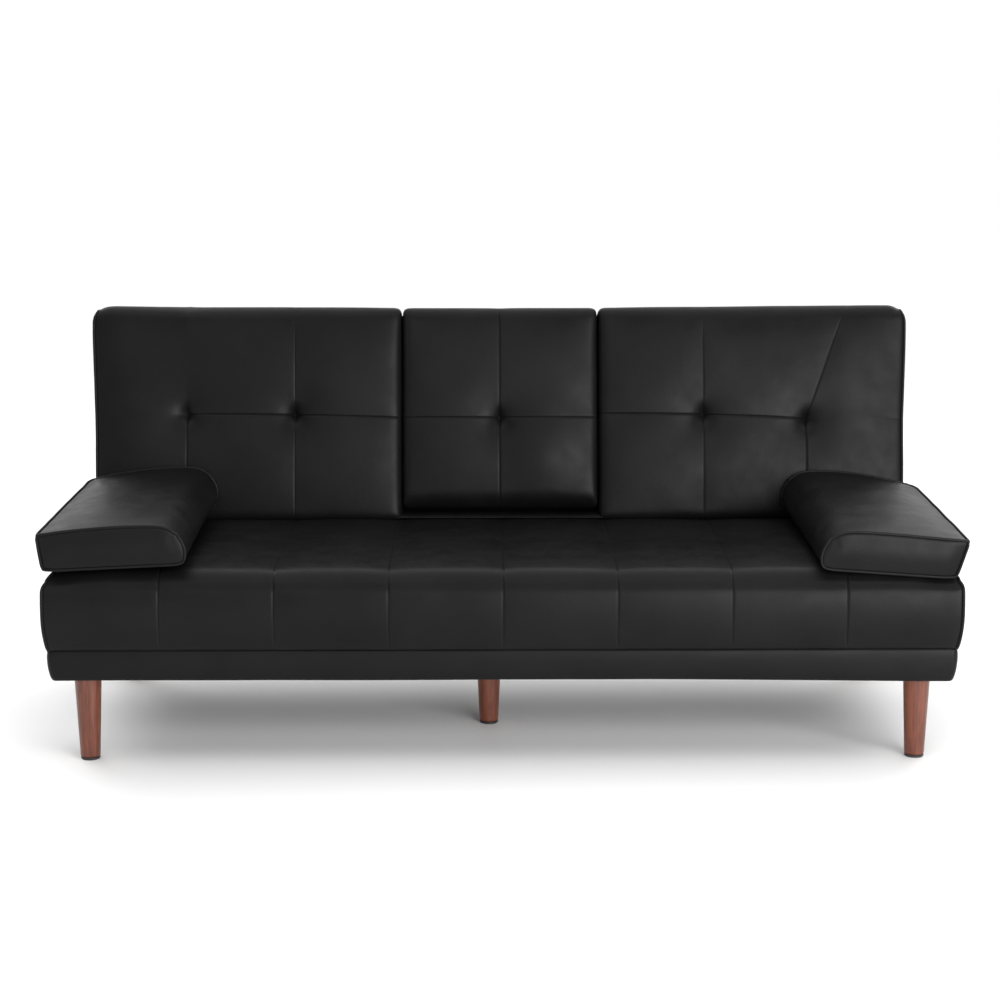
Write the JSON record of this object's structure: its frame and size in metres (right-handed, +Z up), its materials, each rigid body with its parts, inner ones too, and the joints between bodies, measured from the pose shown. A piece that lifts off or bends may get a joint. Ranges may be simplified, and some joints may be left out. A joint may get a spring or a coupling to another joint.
{
  "type": "futon sofa bed",
  "caption": "Click-clack futon sofa bed with a legged base, a backrest that reclines flat, a fold-down cup holder console in its middle and loose arm pillows.",
  "frame": {"origin": "on the floor, at the centre of the footprint box", "axes": "+X along the length, to the right as seen from the front; +Y from the front towards the backrest; +Z up"},
  "size_m": [1.75, 0.7547, 0.807],
  "materials": {
    "upholstery": "soft satin black faux leather, fine pebble grain",
    "plinth_band": "soft satin black faux leather over thin padding",
    "leg_wood": "red-brown walnut stain, satin lacquer",
    "frame_wood": "planed pine, unfinished",
    "lining": "black non-woven lining",
    "moulded_plastic": "black moulded plastic",
    "tray": "black textured laminate",
    "plated_steel": "bright zinc plating",
    "spring_wire": "dark drawn wire"
  },
  "bodies": {
    "base": {"base_rear_board": "frame_wood", "centre_rail": "frame_wood", "dust_cover": "lining", "foot_pad_centre": "moulded_plastic", "foot_pad_front_left": "moulded_plastic", "foot_pad_front_right": "moulded_plastic", "foot_pad_rear_left": "moulded_plastic", "foot_pad_rear_right": "moulded_plastic", "front_board": "frame_wood", "hinge_rivet_left": "plated_steel", "hinge_rivet_right": "plated_steel", "hinge_seat_arm_left": "plated_steel", "hinge_seat_arm_right": "plated_steel", "leg_block_front_left": "frame_wood", "leg_block_front_right": "frame_wood", "leg_block_rear_left": "frame_wood", "leg_block_rear_right": "frame_wood", "leg_centre": "leg_wood", "leg_front_left": "leg_wood", "leg_front_right": "leg_wood", "leg_rear_left": "leg_wood", "leg_rear_right": "leg_wood", "plinth_cover_front": "plinth_band", "plinth_cover_left": "plinth_band", "plinth_cover_rear": "plinth_band", "plinth_cover_right": "plinth_band", "seat_cushion": "upholstery", "seat_rear_board": "frame_wood", "seat_spring_1": "spring_wire", "seat_spring_2": "spring_wire", "seat_spring_3": "spring_wire", "seat_spring_4": "spring_wire", "seat_spring_5": "spring_wire", "seat_spring_6": "spring_wire", "side_board_left": "frame_wood", "side_board_right": "frame_wood"},
    "backrest": {"back_cushion_left": "upholstery", "back_cushion_right": "upholstery", "back_rail_bottom": "frame_wood", "back_rail_top": "frame_wood", "back_stile_inner_left": "frame_wood", "back_stile_inner_right": "frame_wood", "back_stile_outer_left": "frame_wood", "back_stile_outer_right": "frame_wood", "console_bracket_left": "plated_steel", "console_bracket_right": "plated_steel", "hinge_back_arm_left": "plated_steel", "hinge_back_arm_right": "plated_steel", "rear_cover": "lining", "recess_panel": "lining"},
    "console": {"console_cushion": "upholstery", "console_frame": "frame_wood", "console_tray": "tray", "cup_holder_left": "moulded_plastic", "cup_holder_right": "moulded_plastic"},
    "pillow_left": {"arm_pillow_left": "upholstery"},
    "pillow_right": {"arm_pillow_right": "upholstery"},
    "pawl_left": {"hinge_pawl_left": "plated_steel"},
    "pawl_right": {"hinge_pawl_right": "plated_steel"}
  },
  "joints": [
    {"name": "backrest_recline", "type": "hinge", "parent": "base", "child": "backrest", "pos_m": [0, 0.1935, 0.35], "axis": [1, 0, 0], "range_deg": [-76, 3.5]},
    {"name": "console_fold", "type": "hinge", "parent": "backrest", "child": "console", "pos_m": [0, 0.21847, 0.42032], "axis": [1, 0, 0], "range_deg": [0, 101]},
    {"name": "pillow_left_lift", "type": "slide", "parent": "base", "child": "pillow_left", "axis": [0, 0, 1], "range_m": [0, 0.25]},
    {"name": "pillow_right_lift", "type": "slide", "parent": "base", "child": "pillow_right", "axis": [0, 0, 1], "range_m": [0, 0.25]},
    {"name": "pawl_left_swing", "type": "hinge", "parent": "backrest", "child": "pawl_left", "pos_m": [-0.828, 0.22759, 0.37092], "axis": [1, 0, 0], "range_deg": [0, 15], "stiffness_Nm_per_rad": 0.2},
    {"name": "pawl_right_swing", "type": "hinge", "parent": "backrest", "child": "pawl_right", "pos_m": [0.828, 0.22759, 0.37092], "axis": [1, 0, 0], "range_deg": [0, 15], "stiffness_Nm_per_rad": 0.2}
  ]
}
